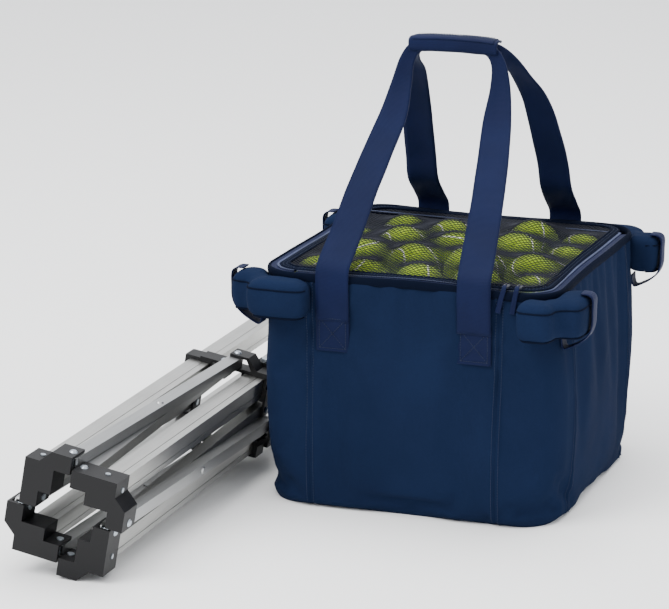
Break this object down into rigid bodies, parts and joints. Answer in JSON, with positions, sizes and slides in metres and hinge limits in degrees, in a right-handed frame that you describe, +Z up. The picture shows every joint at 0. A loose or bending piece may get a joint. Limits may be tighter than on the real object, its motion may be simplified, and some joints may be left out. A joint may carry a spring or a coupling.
{
  "type": "ball cart bag with folding frame",
  "caption": "Square carrying bag heaped with balls under a zipped net lid, with its folded scissor-action leg frame on casters lying beside it.",
  "frame": {"origin": "centre of the bag's base, on the floor", "axes": "+X to the bag's right, +Y to its back, +Z up; the folded frame lies along Y at the left"},
  "size_m": [0.5609, 0.828, 0.531],
  "materials": {
    "bag_fabric": "woven nylon",
    "webbing": "woven webbing",
    "net": "open netting",
    "ball_felt": "felt",
    "zinc": "satin",
    "aluminium_tube": "satin anodised",
    "moulded_nylon": "semi-matte",
    "wheel_rubber": "matte"
  },
  "bodies": {
    "bag": {"bag_front_panel": "bag_fabric", "bag_back_panel": "bag_fabric", "bag_left_panel": "bag_fabric", "bag_right_panel": "bag_fabric", "bag_corner_panels": "bag_fabric", "bag_bottom_panel": "bag_fabric", "zip_tape": "webbing", "strap_patches": "webbing", "corner_hoods": "bag_fabric", "hood_loops": "webbing", "tennis_balls": "ball_felt"},
    "lid": {"lid_net": "net", "lid_border": "bag_fabric"},
    "front_handle": {"front_handle": "webbing", "grip_wrap": "webbing"},
    "back_handle": {"back_handle": "webbing"},
    "zip_slider_left": {"zip_slider_left": "zinc", "zip_pull_left": "webbing"},
    "zip_slider_right": {"zip_slider_right": "zinc", "zip_pull_right": "webbing"},
    "leg_1": {"leg_1": "aluminium_tube", "top_bracket_1": "moulded_nylon", "bracket_rivets_1": "zinc"},
    "slider_1": {"slider_1": "moulded_nylon", "slider_rivets_1": "zinc"},
    "outer_bar_1": {"outer_bar_1": "aluminium_tube"},
    "inner_bar_1": {"inner_bar_1": "aluminium_tube"},
    "lock_button_1": {"lock_button_1": "zinc"},
    "caster_fork_1": {"caster_fork_1": "moulded_nylon"},
    "caster_wheel_1": {"caster_wheel_1": "wheel_rubber"},
    "leg_2": {"leg_2": "aluminium_tube", "top_bracket_2": "moulded_nylon", "bracket_rivets_2": "zinc"},
    "slider_2": {"slider_2": "moulded_nylon", "slider_rivets_2": "zinc"},
    "outer_bar_2": {"outer_bar_2": "aluminium_tube"},
    "inner_bar_2": {"inner_bar_2": "aluminium_tube"},
    "lock_button_2": {"lock_button_2": "zinc"},
    "caster_fork_2": {"caster_fork_2": "moulded_nylon"},
    "caster_wheel_2": {"caster_wheel_2": "wheel_rubber"},
    "leg_3": {"leg_3": "aluminium_tube", "top_bracket_3": "moulded_nylon", "bracket_rivets_3": "zinc"},
    "slider_3": {"slider_3": "moulded_nylon", "slider_rivets_3": "zinc"},
    "outer_bar_3": {"outer_bar_3": "aluminium_tube"},
    "inner_bar_3": {"inner_bar_3": "aluminium_tube"},
    "lock_button_3": {"lock_button_3": "zinc"},
    "caster_fork_3": {"caster_fork_3": "moulded_nylon"},
    "caster_wheel_3": {"caster_wheel_3": "wheel_rubber"},
    "leg_4": {"leg_4": "aluminium_tube", "top_bracket_4": "moulded_nylon", "bracket_rivets_4": "zinc"},
    "slider_4": {"slider_4": "moulded_nylon", "slider_rivets_4": "zinc"},
    "outer_bar_4": {"outer_bar_4": "aluminium_tube"},
    "inner_bar_4": {"inner_bar_4": "aluminium_tube"},
    "lock_button_4": {"lock_button_4": "zinc"},
    "caster_fork_4": {"caster_fork_4": "moulded_nylon"},
    "caster_wheel_4": {"caster_wheel_4": "wheel_rubber"}
  },
  "joints": [
    {"name": "frame_slide", "type": "slide", "parent": "bag", "child": "leg_3", "axis": [-1, 0, 0], "range_m": [0, 0.262]},
    {"name": "frame_unfold", "type": "hinge", "parent": "leg_3", "child": "inner_bar_2", "pos_m": [-0.23124, -0.495, 0.05673], "axis": [0.9842, 0, -0.1771], "range_deg": [0, 46]},
    {"name": "side_2_scissor", "type": "hinge", "parent": "inner_bar_2", "child": "outer_bar_2", "pos_m": [-0.22646, -0.27363, 0.06349], "axis": [0.9842, 0, -0.1771], "range_deg": [-92.5, 0]},
    {"name": "side_2_outer_pivot", "type": "hinge", "parent": "outer_bar_2", "child": "leg_2", "pos_m": [-0.215, -0.495, 0.06905], "axis": [0.9842, 0, -0.1771], "range_deg": [0, 46.5]},
    {"name": "side_1_inner_pivot", "type": "hinge", "parent": "leg_2", "child": "inner_bar_1", "pos_m": [-0.25868, -0.495, 0.11481], "axis": [0.1771, 0, 0.9842], "range_deg": [0, 46.5]},
    {"name": "side_1_scissor", "type": "hinge", "parent": "inner_bar_1", "child": "outer_bar_1", "pos_m": [-0.26545, -0.27363, 0.11958], "axis": [0.1771, 0, 0.9842], "range_deg": [-92.5, 0]},
    {"name": "side_1_outer_pivot", "type": "hinge", "parent": "outer_bar_1", "child": "leg_1", "pos_m": [-0.271, -0.495, 0.13104], "axis": [0.1771, 0, 0.9842], "range_deg": [0, 46.5]},
    {"name": "side_3_outer_pivot", "type": "hinge", "parent": "leg_3", "child": "outer_bar_3", "pos_m": [-0.277, -0.495, 0.01304], "axis": [-0.1771, 0, -0.9842], "range_deg": [-46.5, 0]},
    {"name": "side_3_scissor", "type": "hinge", "parent": "outer_bar_3", "child": "inner_bar_3", "pos_m": [-0.28255, -0.27363, 0.0245], "axis": [-0.1771, 0, -0.9842], "range_deg": [0, 92.5]},
    {"name": "side_3_inner_pivot", "type": "hinge", "parent": "inner_bar_3", "child": "leg_4", "pos_m": [-0.28931, -0.495, 0.02928], "axis": [-0.1771, 0, -0.9842], "range_deg": [-46.5, 0]},
    {"name": "side_4_outer_pivot", "type": "hinge", "parent": "leg_4", "child": "outer_bar_4", "pos_m": [-0.333, -0.495, 0.07504], "axis": [-0.9842, 0, 0.1771], "range_deg": [-46.5, 0]},
    {"name": "side_4_inner_pivot", "type": "hinge", "parent": "leg_1", "child": "inner_bar_4", "pos_m": [-0.31676, -0.495, 0.08736], "axis": [-0.9842, 0, 0.1771], "range_deg": [0, 46.5]},
    {"name": "slider_1_pivot", "type": "hinge", "parent": "inner_bar_1", "child": "slider_1", "pos_m": [-0.27345, -0.05225, 0.11746], "axis": [0.1771, 0, 0.9842], "range_deg": [-46.5, 0]},
    {"name": "slider_2_pivot", "type": "hinge", "parent": "inner_bar_2", "child": "slider_2", "pos_m": [-0.22858, -0.05225, 0.07149], "axis": [0.9842, 0, -0.1771], "range_deg": [-46.5, 0]},
    {"name": "slider_3_pivot", "type": "hinge", "parent": "inner_bar_3", "child": "slider_3", "pos_m": [-0.27455, -0.05225, 0.02662], "axis": [-0.1771, 0, -0.9842], "range_deg": [-46.5, 0]},
    {"name": "slider_4_pivot", "type": "hinge", "parent": "inner_bar_4", "child": "slider_4", "pos_m": [-0.31942, -0.05225, 0.07259], "axis": [-0.9842, 0, 0.1771], "range_deg": [-46.5, 0]},
    {"name": "lid_open", "type": "hinge", "parent": "bag", "child": "lid", "pos_m": [0, 0.171, 0.28], "axis": [-1, 0, 0], "range_deg": [0, 75]},
    {"name": "front_handle_swing", "type": "hinge", "parent": "bag", "child": "front_handle", "pos_m": [0, -0.1832, 0.234], "axis": [1, 0, 0], "range_deg": [0, 135.5]},
    {"name": "back_handle_swing", "type": "hinge", "parent": "bag", "child": "back_handle", "pos_m": [0, 0.1832, 0.234], "axis": [-1, 0, 0], "range_deg": [0, 135.5]},
    {"name": "zip_left_travel", "type": "slide", "parent": "bag", "child": "zip_slider_left", "axis": [-1, 0, 0], "range_m": [0, 0.25], "deforming": ["zip_pull_left"]},
    {"name": "zip_right_travel", "type": "hinge", "parent": "bag", "child": "zip_slider_right", "pos_m": [0.134, -0.137, 0.2825], "axis": [0, 0, 1], "range_deg": [0, 90], "deforming": ["zip_pull_right"]},
    {"name": "lock_button_1_press", "type": "slide", "parent": "slider_1", "child": "lock_button_1", "axis": [0.9842, 0, -0.1771], "range_m": [0, 0.0024], "stiffness_N_per_m": 900, "springref_m": -0.0008},
    {"name": "lock_button_2_press", "type": "slide", "parent": "slider_2", "child": "lock_button_2", "axis": [-0.1771, 0, -0.9842], "range_m": [0, 0.0024], "stiffness_N_per_m": 900, "springref_m": -0.0008},
    {"name": "lock_button_3_press", "type": "slide", "parent": "slider_3", "child": "lock_button_3", "axis": [-0.9842, 0, 0.1771], "range_m": [0, 0.0024], "stiffness_N_per_m": 900, "springref_m": -0.0008},
    {"name": "lock_button_4_press", "type": "slide", "parent": "slider_4", "child": "lock_button_4", "axis": [0.1771, 0, 0.9842], "range_m": [0, 0.0024], "stiffness_N_per_m": 900, "springref_m": -0.0008},
    {"name": "caster_1_swivel", "type": "hinge", "parent": "leg_1", "child": "caster_fork_1", "pos_m": [-0.30306, 0.257, 0.11385], "axis": [0, 1, 0], "continuous": true},
    {"name": "caster_1_roll", "type": "hinge", "parent": "caster_fork_1", "child": "caster_wheel_1", "pos_m": [-0.29611, 0.291, 0.10665], "axis": [0.7193, 0, 0.6947], "continuous": true},
    {"name": "caster_2_swivel", "type": "hinge", "parent": "leg_2", "child": "caster_fork_2", "pos_m": [-0.23219, 0.257, 0.1011], "axis": [0, 1, 0], "continuous": true},
    {"name": "caster_2_roll", "type": "hinge", "parent": "caster_fork_2", "child": "caster_wheel_2", "pos_m": [-0.22525, 0.291, 0.0939], "axis": [0.7193, 0, 0.6947], "continuous": true},
    {"name": "caster_3_swivel", "type": "hinge", "parent": "leg_3", "child": "caster_fork_3", "pos_m": [-0.24494, 0.257, 0.03024], "axis": [0, 1, 0], "continuous": true},
    {"name": "caster_3_roll", "type": "hinge", "parent": "caster_fork_3", "child": "caster_wheel_3", "pos_m": [-0.238, 0.291, 0.02304], "axis": [0.7193, 0, 0.6947], "continuous": true},
    {"name": "caster_4_swivel", "type": "hinge", "parent": "leg_4", "child": "caster_fork_4", "pos_m": [-0.31581, 0.257, 0.04299], "axis": [0, 1, 0], "continuous": true},
    {"name": "caster_4_roll", "type": "hinge", "parent": "caster_fork_4", "child": "caster_wheel_4", "pos_m": [-0.30886, 0.291, 0.03579], "axis": [0.7193, 0, 0.6947], "continuous": true}
  ],
  "couplings": [
    {"joint": "frame_slide", "follows": "frame_unfold", "m_per_rad": 0.32},
    {"joint": "side_2_scissor", "follows": "frame_unfold", "ratio": -2},
    {"joint": "side_2_outer_pivot", "follows": "frame_unfold", "ratio": 1},
    {"joint": "side_1_inner_pivot", "follows": "frame_unfold", "ratio": 1},
    {"joint": "side_1_scissor", "follows": "frame_unfold", "ratio": -2},
    {"joint": "side_1_outer_pivot", "follows": "frame_unfold", "ratio": 1},
    {"joint": "side_3_outer_pivot", "follows": "frame_unfold", "ratio": -1},
    {"joint": "side_3_scissor", "follows": "frame_unfold", "ratio": 2},
    {"joint": "side_3_inner_pivot", "follows": "frame_unfold", "ratio": -1},
    {"joint": "side_4_outer_pivot", "follows": "frame_unfold", "ratio": -1},
    {"joint": "side_4_inner_pivot", "follows": "frame_unfold", "ratio": 1},
    {"joint": "slider_1_pivot", "follows": "frame_unfold", "ratio": -1},
    {"joint": "slider_2_pivot", "follows": "frame_unfold", "ratio": -1},
    {"joint": "slider_3_pivot", "follows": "frame_unfold", "ratio": -1},
    {"joint": "slider_4_pivot", "follows": "frame_unfold", "ratio": -1},
    {"joint": "front_handle_swing", "follows": "lid_open", "ratio": 1.8},
    {"joint": "back_handle_swing", "follows": "lid_open", "ratio": 1.8}
  ]
}
